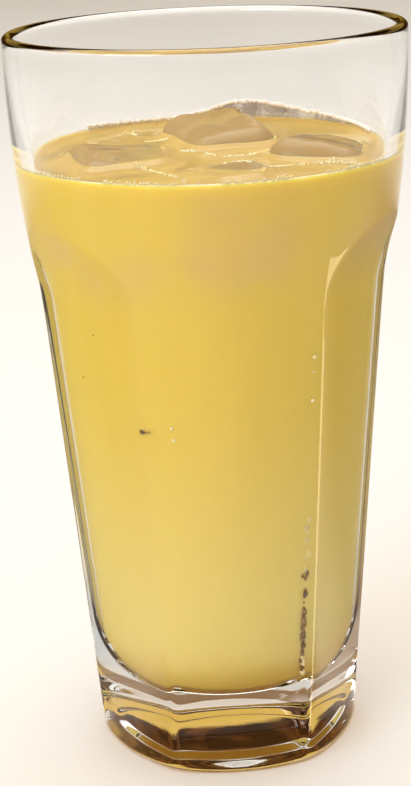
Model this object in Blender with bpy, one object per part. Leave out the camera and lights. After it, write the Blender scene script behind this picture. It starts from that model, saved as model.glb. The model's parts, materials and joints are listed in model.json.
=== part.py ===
"""A glass of iced lemonade: a clear pressed tumbler, the cloudy drink in it and four lumps of ice.

The tumbler stands on z = 0 with its axis on Z. Its mouth is round, and its body has six slightly
bulged facets that run out in arches under the mouth. One facet faces -Y. Lengths are in metres.
"""

import math

import bmesh
import bpy
from mathutils import Vector, noise

MM = 0.001

# Tumbler, outside
HEIGHT = 150.0 * MM
MOUTH_RADIUS = 40.0 * MM
SHOULDER_HEIGHT = 98.0 * MM
SHOULDER_RADIUS = 35.4 * MM
SHOULDER_ROUND = 8.0 * MM
FOOT_RADIUS = 27.6 * MM
FLARE_POWER = 2.2
FACETS = 6
FACET_BULGE = 0.03
FOOT_BULGE = 0.07
FOOT_BULGE_RISE = 3.0 * MM
ARCH_RISE = 16.0 * MM
RIDGE_BLEND = 0.3 * MM
RIDGE_SPARE = 0.25 * MM
FOOT_ROUND = 1.2 * MM
RECESS_RADIUS = 19.0 * MM
RECESS_DEPTH = 1.0 * MM
RECESS_SLOPE = 4.0 * MM

# Tumbler, inside
LIP_THICKNESS = 2.4 * MM
FLOOR_HEIGHT = 14.5 * MM
FLOOR_FILLET = 10.0 * MM
WELL_RADIUS = 22.3 * MM
WALL_RADIUS = 30.0 * MM
WALL_FLARE_POWER = 2.0

# Drink and ice
LEVEL = 124.8 * MM
GAP = 0.3 * MM
ICE_ROUND = 5.0 * MM
ICE_WARP = 0.7 * MM

# Mesh fineness
SIDES = 72
ARC_STEPS = 5


def smooth_min(a, b, blend):
    """The smaller of a and b, rounded over a width of about blend where they meet."""
    return 0.5 * (a + b - math.hypot(a - b, blend))


def straight_radius(z):
    """Radius of the ridges between facets, carried on above the shoulder in a straight line."""
    return FOOT_RADIUS + (SHOULDER_RADIUS - FOOT_RADIUS) * z / SHOULDER_HEIGHT


def shoulder_rounding(z, turn):
    """What rounds the corner at the shoulder of a profile whose slope changes by turn there."""
    near = max(0.0, SHOULDER_ROUND - abs(z - SHOULDER_HEIGHT))
    return turn * near**2 / (4 * SHOULDER_ROUND)


def envelope_radius(z):
    """Radius of the round outer surface and, below the shoulder, of the ridges between facets."""
    lean = (SHOULDER_RADIUS - FOOT_RADIUS) / SHOULDER_HEIGHT
    flare = FLARE_POWER * (MOUTH_RADIUS - SHOULDER_RADIUS) / (HEIGHT - SHOULDER_HEIGHT)
    rounding = shoulder_rounding(z, flare - lean)
    if z <= SHOULDER_HEIGHT:
        return straight_radius(z) + rounding
    share = (HEIGHT - z) / (HEIGHT - SHOULDER_HEIGHT)
    return MOUTH_RADIUS - (MOUTH_RADIUS - SHOULDER_RADIUS) * share**FLARE_POWER + rounding


def facet_size(z):
    """Radius and mid distance of a facet's bulged side at height z. It runs out over the shoulder."""
    top = min(z, SHOULDER_HEIGHT + ARCH_RISE)
    sagitta = FACET_BULGE + FOOT_BULGE * math.exp(-z / FOOT_BULGE_RISE)
    half_side = math.sin(math.pi / FACETS)
    corner = straight_radius(top) + RIDGE_SPARE
    arc = corner * (half_side**2 + sagitta**2) / (2 * sagitta)
    middle = corner * (math.cos(math.pi / FACETS) + sagitta)
    if z > SHOULDER_HEIGHT:
        arch_top = SHOULDER_HEIGHT + ARCH_RISE
        last = (straight_radius(arch_top) + RIDGE_SPARE) * (math.cos(math.pi / FACETS) + sagitta)
        middle += (envelope_radius(arch_top) - last) * ((z - SHOULDER_HEIGHT) / ARCH_RISE) ** 2
    return arc, middle


def outer_radius(angle, z):
    """Radius of the tumbler's outside at an angle from the middle of a facet."""
    arc, middle = facet_size(z)
    radius = envelope_radius(z)
    pitch = 2 * math.pi / FACETS
    nearest = (angle + pitch / 2) % pitch - pitch / 2
    sides = []
    for turned in (nearest, abs(nearest) - pitch):
        offset = middle - arc
        sides.append(offset * math.cos(turned) + math.sqrt(arc**2 - (offset * math.sin(turned)) ** 2))
    facet = smooth_min(sides[0], sides[1], RIDGE_BLEND)
    return smooth_min(facet, radius, RIDGE_BLEND)


def wall_radius(z):
    """Radius of the inside of the wall, above the round that joins it to the floor."""
    lip = MOUTH_RADIUS - LIP_THICKNESS
    lean = (WALL_RADIUS - WELL_RADIUS) / (SHOULDER_HEIGHT - FLOOR_HEIGHT)
    flare = WALL_FLARE_POWER * (lip - WALL_RADIUS) / (HEIGHT - SHOULDER_HEIGHT)
    rounding = shoulder_rounding(z, flare - lean)
    if z <= SHOULDER_HEIGHT:
        return WELL_RADIUS + lean * (z - FLOOR_HEIGHT) + rounding
    share = (HEIGHT - z) / (HEIGHT - SHOULDER_HEIGHT)
    return lip - (lip - WALL_RADIUS) * share**WALL_FLARE_POWER + rounding


def well_profile(heights, gap):
    """(radius, z) points up the inside from the floor's edge, moved inward by gap."""
    slope = (WALL_RADIUS - WELL_RADIUS) / (SHOULDER_HEIGHT - FLOOR_HEIGHT)
    leaning = math.hypot(1, slope)
    centre_z = FLOOR_HEIGHT + FLOOR_FILLET
    centre_radius = wall_radius(centre_z) - FLOOR_FILLET * leaning
    reach = FLOOR_FILLET - gap
    last = -math.atan(slope)
    points = []
    for step in range(ARC_STEPS + 1):
        turn = -math.pi / 2 + (last + math.pi / 2) * step / ARC_STEPS
        points.append((centre_radius + reach * math.cos(turn), centre_z + reach * math.sin(turn)))
    points += [(wall_radius(z) - gap * leaning, z) for z in heights if z > points[-1][1] + MM]
    return points


def ring_angle(corner):
    """Angle of a ring's corner from -Y toward +X, snapped to the ring's even spacing."""
    step = 2 * math.pi / SIDES
    return step * round(math.atan2(corner.co.x, -corner.co.y) / step)


def place_ring(corners, radius_at, z):
    """Moves a ring's corners to height z, each to the radius for its angle."""
    for corner in corners:
        angle = ring_angle(corner)
        radius = radius_at(angle)
        corner.co = (radius * math.sin(angle), -radius * math.cos(angle), z)


def loft(mesh, rings):
    """Extrudes a circle through rings of (radius by angle, z), and closes both ends with a flat face."""
    corners = bmesh.ops.create_circle(mesh, segments=SIDES, radius=MOUTH_RADIUS)["verts"]
    edges = mesh.edges[:]
    place_ring(corners, *rings[0])
    for radius_at, z in rings[1:]:
        made = bmesh.ops.extrude_edge_only(mesh, edges=edges)["geom"]
        corners = [item for item in made if isinstance(item, bmesh.types.BMVert)]
        edges = [item for item in made if isinstance(item, bmesh.types.BMEdge) and item.is_boundary]
        place_ring(corners, radius_at, z)
    open_edges = [edge for edge in mesh.edges if edge.is_boundary]
    bmesh.ops.holes_fill(mesh, edges=open_edges, sides=0)
    bmesh.ops.recalc_face_normals(mesh, faces=mesh.faces)


def round_ring(radius, z):
    """A ring of one radius."""
    return lambda angle: radius, z


def outer_ring(z, inset=0.0):
    """A ring of the tumbler's outside at height z, moved inward by inset."""
    return lambda angle: outer_radius(angle, z) - inset, z


def steps(first, last, count):
    """Evenly spaced values from first to last, both included."""
    return [first + (last - first) * step / count for step in range(count + 1)]


def underside_rings():
    """The shallow recess and the flat foot ring round it."""
    return [
        round_ring(RECESS_RADIUS - RECESS_SLOPE, RECESS_DEPTH),
        round_ring(RECESS_RADIUS, 0.0),
    ]


def outside_rings():
    """The foot's rounded edge, the six-sided body, the arches and the round part to the lip."""
    rings = []
    for turn in steps(0, math.pi / 2, 3):
        inset = FOOT_ROUND * (1 - math.sin(turn))
        rings.append(outer_ring(FOOT_ROUND * (1 - math.cos(turn)), inset))
    arch_top = SHOULDER_HEIGHT + ARCH_RISE
    rings += [outer_ring(z) for z in (3 * MM, 6 * MM, 11 * MM)]
    rings += [outer_ring(z) for z in (34 * MM, 62 * MM, 90 * MM, 94 * MM)]
    rings += [outer_ring(z) for z in steps(SHOULDER_HEIGHT, arch_top, 9)]
    rings += [outer_ring(z) for z in (118 * MM, 126 * MM, 136 * MM)]
    return rings


def lip_rings():
    """The full round over the top of the wall."""
    radius = LIP_THICKNESS / 2
    middle = MOUTH_RADIUS - radius
    turns = steps(0, math.pi, 6)
    return [
        round_ring(middle + radius * math.cos(turn), HEIGHT - radius + radius * math.sin(turn))
        for turn in turns
    ]


def inside_rings():
    """The inside of the wall and the floor of the well, from the lip down."""
    heights = [z * MM for z in (60, 90, 94, 98, 102, 106, 112, 119, 128, 138)]
    points = well_profile(heights, 0.0)
    return [round_ring(radius, z) for radius, z in reversed(points)]


def new_object(name, mesh, material):
    """A smooth-shaded object from a bmesh."""
    data = bpy.data.meshes.new(name)
    mesh.to_mesh(data)
    mesh.free()
    data.shade_smooth()
    data.set_sharp_from_angle(angle=math.radians(50))
    item = bpy.data.objects.new(name, data)
    if material:
        data.materials.append(material)
    bpy.context.scene.collection.objects.link(item)
    return item


def new_material(name, colour, roughness, transmission):
    """A plain non-metal material."""
    material = bpy.data.materials.new(name)
    material.use_nodes = True
    shader = material.node_tree.nodes["Principled BSDF"]
    shader.inputs["Base Color"].default_value = (*colour, 1.0)
    shader.inputs["Roughness"].default_value = roughness
    shader.inputs["Metallic"].default_value = 0.0
    shader.inputs["Transmission Weight"].default_value = transmission
    return material


def build_glass():
    """The tumbler: one skin from the recess under it, up the outside, over the lip and down inside."""
    mesh = bmesh.new()
    loft(mesh, underside_rings() + outside_rings() + lip_rings() + inside_rings())
    return new_object("glass", mesh, new_material("clear_glass", (0.95, 0.97, 0.96), 0.02, 1.0))


def ice_lump(size, spare, seed):
    """A melted ice cube: a box with well rounded edges, slightly dented, spare bigger all round."""
    mesh = bmesh.new()
    bmesh.ops.create_cube(mesh, size=1.0)
    bmesh.ops.scale(mesh, vec=Vector(size) + Vector((2, 2, 2)) * spare, verts=mesh.verts)
    bmesh.ops.bevel(
        mesh,
        geom=mesh.edges[:],
        offset=ICE_ROUND + spare,
        segments=3,
        profile=0.5,
        affect="EDGES",
        material=-1,
    )
    for corner in mesh.verts:
        direction = corner.co.normalized()
        corner.co += direction * ICE_WARP * noise.noise(direction * 1.6 + Vector((seed, 0, 0)))
    return mesh


def ice_places():
    """Name, size, centre and turn of each lump that reaches the surface of the drink."""
    return (
        ("ice_back", (20, 25, 20), (3.9, 13.2, 118.4), (7, -5, 12)),
        ("ice_right", (20, 19, 19), (20.8, -8.6, 117.8), (-5, 6, -24)),
        ("ice_left", (22, 22, 19), (-18.5, -3.5, 116.4), (4, 5, 10)),
        ("ice_front", (18, 16, 18), (1.5, -23.7, 116.3), (6, -4, 6)),
    )


def build_ice(cutters):
    """The ice lumps, and for each a slightly larger cutter for its pocket in the drink."""
    material = new_material("ice", (0.92, 0.94, 0.92), 0.08, 0.9)
    for seed, (name, size, centre, turn) in enumerate(ice_places()):
        size = [side * MM for side in size]
        turned = [math.radians(angle) for angle in turn]
        lump = new_object(name, ice_lump(size, 0.0, seed), material)
        pocket = new_object(name + "_pocket", ice_lump(size, GAP, seed), None)
        for item in (lump, pocket):
            item.location = Vector(centre) * MM
            item.rotation_euler = turned
        bpy.context.scene.collection.objects.unlink(pocket)
        cutters.objects.link(pocket)
        pocket.hide_render = True
        pocket.display_type = "WIRE"


def build_lemonade(cutters):
    """The drink up to its level, with a pocket round each lump of ice."""
    heights = [z * MM for z in (60, 90, 94, 98, 102, 106, 112, 119)] + [LEVEL]
    points = well_profile(heights, GAP)
    mesh = bmesh.new()
    loft(mesh, [round_ring(radius, z) for radius, z in points])
    drink = new_object("lemonade", mesh, new_material("lemonade", (0.72, 0.5, 0.09), 0.35, 0.0))
    cut = drink.modifiers.new("ice_pockets", "BOOLEAN")
    cut.operation = "DIFFERENCE"
    cut.operand_type = "COLLECTION"
    cut.collection = cutters
    cut.solver = "EXACT"
    return drink


def clear_scene():
    """Empties the scene of whatever it starts with."""
    for item in list(bpy.data.objects):
        bpy.data.objects.remove(item, do_unlink=True)


def main():
    clear_scene()
    cutters = bpy.data.collections.new("ice_pockets")
    bpy.context.scene.collection.children.link(cutters)
    build_glass()
    build_ice(cutters)
    build_lemonade(cutters)


main()
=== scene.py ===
"""Looks of a glass of iced lemonade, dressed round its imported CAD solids.

A pressed tumbler with six facets holds a cloudy yellow drink, four lumps of ice that reach its
surface, and the small bubbles that gather along the waterline. Shapes are worked out in
millimetres and placed in metres, in the frame of the solids.
"""

import json
import logging
import math
import random
from collections.abc import Callable, Sequence
from dataclasses import dataclass, field
from enum import Enum

import bmesh
import bpy
from mathutils import Matrix, Vector, noise
from mathutils.bvhtree import BVHTree

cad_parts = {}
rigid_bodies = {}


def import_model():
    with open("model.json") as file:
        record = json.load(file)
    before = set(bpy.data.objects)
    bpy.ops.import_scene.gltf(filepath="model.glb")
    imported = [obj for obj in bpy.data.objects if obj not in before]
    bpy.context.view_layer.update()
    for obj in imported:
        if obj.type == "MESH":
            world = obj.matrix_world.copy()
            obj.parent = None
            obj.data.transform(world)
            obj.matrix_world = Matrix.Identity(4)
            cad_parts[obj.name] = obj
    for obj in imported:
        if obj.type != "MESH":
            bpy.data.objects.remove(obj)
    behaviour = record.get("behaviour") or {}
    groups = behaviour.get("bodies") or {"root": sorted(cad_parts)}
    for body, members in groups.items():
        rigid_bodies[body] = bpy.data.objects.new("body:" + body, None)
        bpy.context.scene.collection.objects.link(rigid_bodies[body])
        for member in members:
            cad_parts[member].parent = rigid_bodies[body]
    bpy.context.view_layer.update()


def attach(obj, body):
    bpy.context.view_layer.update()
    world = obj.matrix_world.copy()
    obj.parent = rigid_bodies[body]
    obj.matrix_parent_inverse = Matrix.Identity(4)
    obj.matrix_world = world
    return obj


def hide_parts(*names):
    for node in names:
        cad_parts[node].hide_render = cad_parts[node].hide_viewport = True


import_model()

MM = 0.001
LOG = logging.getLogger("lemonade")

# A ring gives radius and height in millimetres by angle; colours are linear red, green and blue.
Ring = Callable[[float], tuple[float, float]]
Colour = tuple[float, float, float]
Size = tuple[float, float, float]


class Slot(Enum):
    """The record's material slots."""

    GLASS = "clear_glass"
    DRINK = "lemonade"
    ICE = "ice"


def smooth_min(a: float, b: float, blend: float) -> float:
    """The smaller of a and b, rounded where they meet."""
    return 0.5 * (a + b - math.hypot(a - b, blend))


def between(ends: tuple[float, float], share: float) -> float:
    """The value at a share of the way from the first end to the second."""
    return ends[0] + (ends[1] - ends[0]) * share


def darker(colour: Colour, share: float) -> Colour:
    """The same colour with a share of its light."""
    return tuple(share * part for part in colour)


def spaced(first: float, last: float, count: int) -> list[float]:
    """Evenly spaced values from first to last, both included."""
    return [first + (last - first) * step / count for step in range(count + 1)]


@dataclass(frozen=True)
class TumblerShape:
    """Sizes of the pressed tumbler and the level of its drink, in millimetres."""

    height: float = 150.0
    mouth_radius: float = 40.0
    shoulder_height: float = 98.0
    shoulder_radius: float = 35.4
    shoulder_round: float = 8.0
    foot_radius: float = 27.6
    flare_power: float = 2.2
    facets: int = 6
    facet_bulge: float = 0.03
    foot_bulge: float = 0.07
    foot_bulge_rise: float = 3.0
    arch_rise: float = 16.0
    ridge_blend: float = 0.3
    ridge_spare: float = 0.25
    foot_round: float = 1.2
    recess_radius: float = 19.0
    recess_depth: float = 1.0
    recess_slope: float = 4.0
    lip_thickness: float = 2.4
    floor_height: float = 14.5
    floor_fillet: float = 10.0
    well_radius: float = 22.3
    wall_radius: float = 30.0
    wall_flare_power: float = 2.0
    level: float = 124.8
    fillet_steps: int = 16
    ridge_crowding: float = 1.3

    def straight(self, z: float) -> float:
        """Radius of the ridges, carried on above the shoulder in a straight line."""
        return self.foot_radius + (self.shoulder_radius - self.foot_radius) * z / self.shoulder_height

    def rounding(self, z: float, turn: float) -> float:
        """Works out what rounds a profile's corner at the shoulder.

        Args:
            z: Height above the foot.
            turn: How much the profile's slope changes at the shoulder.

        Returns:
            What is added to the radius.
        """
        near = max(0.0, self.shoulder_round - abs(z - self.shoulder_height))
        return turn * near**2 / (4 * self.shoulder_round)

    def envelope(self, z: float) -> float:
        """Radius of the round outside and, below the shoulder, of the ridges.

        Args:
            z: Height above the foot.

        Returns:
            The radius.
        """
        widening = self.mouth_radius - self.shoulder_radius
        lean = (self.shoulder_radius - self.foot_radius) / self.shoulder_height
        flare = self.flare_power * widening / (self.height - self.shoulder_height)
        rounding = self.rounding(z, flare - lean)
        if z <= self.shoulder_height:
            return self.straight(z) + rounding
        share = (self.height - z) / (self.height - self.shoulder_height)
        return self.mouth_radius - widening * share**self.flare_power + rounding

    def facet(self, z: float) -> tuple[float, float]:
        """Works out the bulged side of a facet at one height.

        Args:
            z: Height above the foot.

        Returns:
            The radius of the side's arc and the distance of its middle from the axis.
        """
        arch_top = self.shoulder_height + self.arch_rise
        sagitta = self.facet_bulge + self.foot_bulge * math.exp(-z / self.foot_bulge_rise)
        half_side, flat = math.sin(math.pi / self.facets), math.cos(math.pi / self.facets)
        corner = self.straight(min(z, arch_top)) + self.ridge_spare
        arc = corner * (half_side**2 + sagitta**2) / (2 * sagitta)
        middle = corner * (flat + sagitta)
        if z > self.shoulder_height:
            last = (self.straight(arch_top) + self.ridge_spare) * (flat + sagitta)
            share = (z - self.shoulder_height) / self.arch_rise
            middle += (self.envelope(arch_top) - last) * share**2
        return arc, middle

    def outside(self, angle: float, z: float) -> float:
        """Radius of the outside.

        Args:
            angle: Angle from the middle of the front facet, in radians.
            z: Height above the foot.

        Returns:
            The distance of the skin from the axis.
        """
        arc, middle = self.facet(z)
        pitch = 2 * math.pi / self.facets
        nearest = (angle + pitch / 2) % pitch - pitch / 2
        offset = middle - arc
        sides = [
            offset * math.cos(turned) + math.sqrt(arc**2 - (offset * math.sin(turned)) ** 2)
            for turned in (nearest, abs(nearest) - pitch)
        ]
        facet = smooth_min(sides[0], sides[1], self.ridge_blend)
        return smooth_min(facet, self.envelope(z), self.ridge_blend)

    def wall(self, z: float) -> float:
        """Radius of the inside of the wall, above the round at the floor.

        Args:
            z: Height above the foot.

        Returns:
            The radius.
        """
        lip = self.mouth_radius - self.lip_thickness
        lean = (self.wall_radius - self.well_radius) / (self.shoulder_height - self.floor_height)
        flare = self.wall_flare_power * (lip - self.wall_radius) / (self.height - self.shoulder_height)
        rounding = self.rounding(z, flare - lean)
        if z <= self.shoulder_height:
            return self.well_radius + lean * (z - self.floor_height) + rounding
        share = (self.height - z) / (self.height - self.shoulder_height)
        return lip - (lip - self.wall_radius) * share**self.wall_flare_power + rounding

    def well(self, heights: Sequence[float], inset: float) -> list[tuple[float, float]]:
        """Profile of the well from the floor's edge up the wall.

        Args:
            heights: Heights of the points above the round at the floor.
            inset: How far the profile lies inside the glass surface.

        Returns:
            Radius and height of each point.
        """
        slope = (self.wall_radius - self.well_radius) / (self.shoulder_height - self.floor_height)
        leaning = math.hypot(1, slope)
        centre_z = self.floor_height + self.floor_fillet
        centre_radius = self.wall(centre_z) - self.floor_fillet * leaning
        reach = self.floor_fillet - inset
        points = [
            (centre_radius + reach * math.cos(turn), centre_z + reach * math.sin(turn))
            for turn in spaced(-math.pi / 2, -math.atan(slope), self.fillet_steps)
        ]
        points += [(self.wall(z) - inset * leaning, z) for z in heights if z > points[-1][1] + 1]
        return points

    def angles(self, per_half: int) -> list[float]:
        """Angles round the tumbler, closer together near the ridges.

        Args:
            per_half: How many steps there are in half a facet.

        Returns:
            The angles in radians, from the middle of the front facet.
        """
        half = math.pi / self.facets
        shares = spaced(0.0, 1.0, per_half)
        offsets = [half * (1 - (1 - share) ** self.ridge_crowding) for share in shares]
        one = [-offset for offset in reversed(offsets[1:])] + offsets[:-1]
        return [2 * half * side + offset for side in range(self.facets) for offset in one]


@dataclass(frozen=True)
class Bench:
    """Shared tools that turn bmeshes into finished pieces."""

    body: str = "root"

    def bearing(self, point: Vector) -> float:
        """Angle of a point from -Y toward +X."""
        return math.atan2(point.x, -point.y)

    def place(self, corners: Sequence[bmesh.types.BMVert], ring: Ring) -> None:
        """Moves each corner to where the ring puts its angle.

        Args:
            corners: The corners, each already at its own angle.
            ring: Radius and height in millimetres by angle.
        """
        for corner in corners:
            angle = self.bearing(corner.co)
            radius, z = ring(angle)
            corner.co = Vector((radius * math.sin(angle), -radius * math.cos(angle), z)) * MM

    def loft(self, rings: Sequence[Ring], angles: Sequence[float]) -> bmesh.types.BMesh:
        """Extrudes a circle through rings and draws each end together on the axis.

        Args:
            rings: For each ring, radius and height in millimetres by angle.
            angles: Angles of the corners, one for each.

        Returns:
            A closed mesh.
        """
        mesh = bmesh.new()
        count = len(angles)
        corners = bmesh.ops.create_circle(mesh, segments=count, radius=1.0)["verts"]
        edges = mesh.edges[:]
        for corner in corners:
            angle = angles[round(self.bearing(corner.co) / (2 * math.pi / count)) % count]
            corner.co = Vector((math.sin(angle), -math.cos(angle), 0.0))
        self.place(corners, rings[0])
        first = list(corners)
        for ring in rings[1:]:
            made = bmesh.ops.extrude_edge_only(mesh, edges=edges)["geom"]
            corners = [item for item in made if isinstance(item, bmesh.types.BMVert)]
            edges = [item for item in made if isinstance(item, bmesh.types.BMEdge) and item.is_boundary]
            self.place(corners, ring)
        for end in (first, corners):
            middle = Vector((0.0, 0.0, sum(corner.co.z for corner in end) / len(end)))
            open_edges = [edge for edge in mesh.edges if edge.is_boundary and edge.verts[0] in set(end)]
            tip = bmesh.ops.extrude_edge_only(mesh, edges=open_edges)["geom"]
            tips = [item for item in tip if isinstance(item, bmesh.types.BMVert)]
            bmesh.ops.pointmerge(mesh, verts=tips, merge_co=middle)
        bmesh.ops.recalc_face_normals(mesh, faces=mesh.faces)
        return mesh

    def finish(
        self, name: str, mesh: bmesh.types.BMesh, materials: Sequence[bpy.types.Material]
    ) -> bpy.types.Object:
        """Makes a smooth object of a bmesh and links it.

        Args:
            name: Name of the piece.
            mesh: The shape, freed here.
            materials: Its materials, in the order of the faces' indices.

        Returns:
            The object, at the origin.
        """
        data = bpy.data.meshes.new(name)
        mesh.to_mesh(data)
        mesh.free()
        data.shade_smooth()
        for material in materials:
            data.materials.append(material)
        piece = bpy.data.objects.new(name, data)
        bpy.context.scene.collection.objects.link(piece)
        return piece

    def hand_over(self, piece: bpy.types.Object, slot: Slot, *nodes: str) -> None:
        """Lets a piece ride on the part and stand for its nodes.

        Args:
            piece: The finished piece.
            slot: The record's material slot; not used.
            nodes: Names of the CAD nodes that it replaces.
        """
        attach(piece, self.body)
        if nodes:
            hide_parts(*nodes)
        LOG.info("%s: %d faces", piece.name, len(piece.data.polygons))


BENCH = Bench()


@dataclass(frozen=True)
class NodeTable:
    """A node tree with short ways to add and join nodes."""

    tree: bpy.types.NodeTree

    def add(self, kind: str, **values: object) -> bpy.types.Node:
        """Adds a node.

        Args:
            kind: The node's type name.
            values: Node properties, or socket values where the name is a socket's.

        Returns:
            The node.
        """
        node = self.tree.nodes.new(kind)
        for name, value in values.items():
            socket = name.replace("_", " ")
            if socket in node.inputs:
                node.inputs[socket].default_value = value
            else:
                setattr(node, name, value)
        return node

    def join(self, start: bpy.types.NodeSocket, end: bpy.types.NodeSocket) -> None:
        """Links two sockets."""
        self.tree.links.new(start, end)

    def maths(self, operation: str, first: object, second: object = 0.0) -> bpy.types.NodeSocket:
        """Adds a Math node.

        Args:
            operation: The node's operation.
            first: A socket or a number.
            second: A socket or a number.

        Returns:
            Its result.
        """
        node = self.tree.nodes.new("ShaderNodeMath")
        node.operation = operation
        for socket, value in zip(node.inputs, (first, second)):
            if isinstance(value, bpy.types.NodeSocket):
                self.join(value, socket)
            else:
                socket.default_value = value
        return node.outputs[0]

    def blend(self, share: bpy.types.NodeSocket, first: object, second: object) -> bpy.types.NodeSocket:
        """Adds a colour mix.

        Args:
            share: How much of the second colour.
            first: A socket or a colour.
            second: A socket or a colour.

        Returns:
            The mixed colour.
        """
        node = self.tree.nodes.new("ShaderNodeMix")
        node.data_type = "RGBA"
        self.join(share, node.inputs["Factor"])
        for socket, value in ((node.inputs[6], first), (node.inputs[7], second)):
            if isinstance(value, bpy.types.NodeSocket):
                self.join(value, socket)
            else:
                socket.default_value = (*value, 1.0)
        return node.outputs[2]


    def mix(
        self, share: bpy.types.NodeSocket, first: bpy.types.Node, second: bpy.types.Node
    ) -> bpy.types.Node:
        """Adds a mix of two shaders.

        Args:
            share: How much of the second shader.
            first: A shader.
            second: A shader.

        Returns:
            The mixed shader.
        """
        mixed = self.add("ShaderNodeMixShader")
        for start, socket in zip((share, first.outputs[0], second.outputs[0]), mixed.inputs):
            self.join(start, socket)
        return mixed

    def show(self, shader: bpy.types.Node) -> None:
        """Makes a shader the material's surface."""
        self.join(shader.outputs[0], self.tree.nodes["Material Output"].inputs["Surface"])


@dataclass(frozen=True)
class Effects:
    """Node groups that several finishes share."""

    ripple_name: str = "soft_ripple"
    cloud_name: str = "cloud"

    def group(self, name: str, inputs: Sequence[tuple[str, float]], output: str) -> bpy.types.NodeTree:
        """An empty node group with its sockets.

        Args:
            name: The group's name.
            inputs: Name and default of each number that goes in.
            output: Name of the number that comes out.

        Returns:
            The group.
        """
        tree = bpy.data.node_groups.new(name, "ShaderNodeTree")
        tree.interface.new_socket("Place", in_out="INPUT", socket_type="NodeSocketVector")
        kind = "NodeSocketFloat"
        for socket_name, value in inputs:
            socket = tree.interface.new_socket(socket_name, in_out="INPUT", socket_type=kind)
            socket.default_value = value
        tree.interface.new_socket(output, in_out="OUTPUT", socket_type=kind)
        return tree

    def ripple(self) -> bpy.types.NodeTree:
        """Slow and fine waves for a pressed, melted or liquid surface.

        Returns:
            The group, made once.
        """
        found = bpy.data.node_groups.get(self.ripple_name)
        if found:
            return found
        scales = [("Broad", 60.0), ("Fine", 300.0), ("Fine Share", 0.2)]
        tree = self.group(self.ripple_name, scales, "Height")
        table = NodeTable(tree)
        start = table.add("NodeGroupInput")
        end = table.add("NodeGroupOutput")
        broad = table.add("ShaderNodeTexNoise", Detail=1.0, Roughness=0.4)
        fine = table.add("ShaderNodeTexNoise", Detail=2.0, Roughness=0.5)
        for waves, scale in ((broad, "Broad"), (fine, "Fine")):
            table.join(start.outputs["Place"], waves.inputs["Vector"])
            table.join(start.outputs[scale], waves.inputs["Scale"])
        share = table.maths("MULTIPLY", fine.outputs["Fac"], start.outputs["Fine Share"])
        table.join(table.maths("ADD", broad.outputs["Fac"], share), end.inputs["Height"])
        return tree

    def cloud(self) -> bpy.types.NodeTree:
        """Soft uneven haze, from 0 where it is thin to 1 where it is thick.

        Returns:
            The group, made once.
        """
        found = bpy.data.node_groups.get(self.cloud_name)
        if found:
            return found
        tree = self.group(self.cloud_name, [("Scale", 40.0), ("Thin", 0.35), ("Thick", 0.7)], "Haze")
        table = NodeTable(tree)
        start = table.add("NodeGroupInput")
        end = table.add("NodeGroupOutput")
        haze = table.add("ShaderNodeTexNoise", Detail=3.0, Roughness=0.55, Distortion=0.6)
        spread = table.add("ShaderNodeMapRange", interpolation_type="SMOOTHSTEP")
        table.join(start.outputs["Place"], haze.inputs["Vector"])
        table.join(start.outputs["Scale"], haze.inputs["Scale"])
        table.join(haze.outputs["Fac"], spread.inputs["Value"])
        table.join(start.outputs["Thin"], spread.inputs["From Min"])
        table.join(start.outputs["Thick"], spread.inputs["From Max"])
        table.join(spread.outputs["Result"], end.inputs["Haze"])
        return tree


EFFECTS = Effects()


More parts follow.
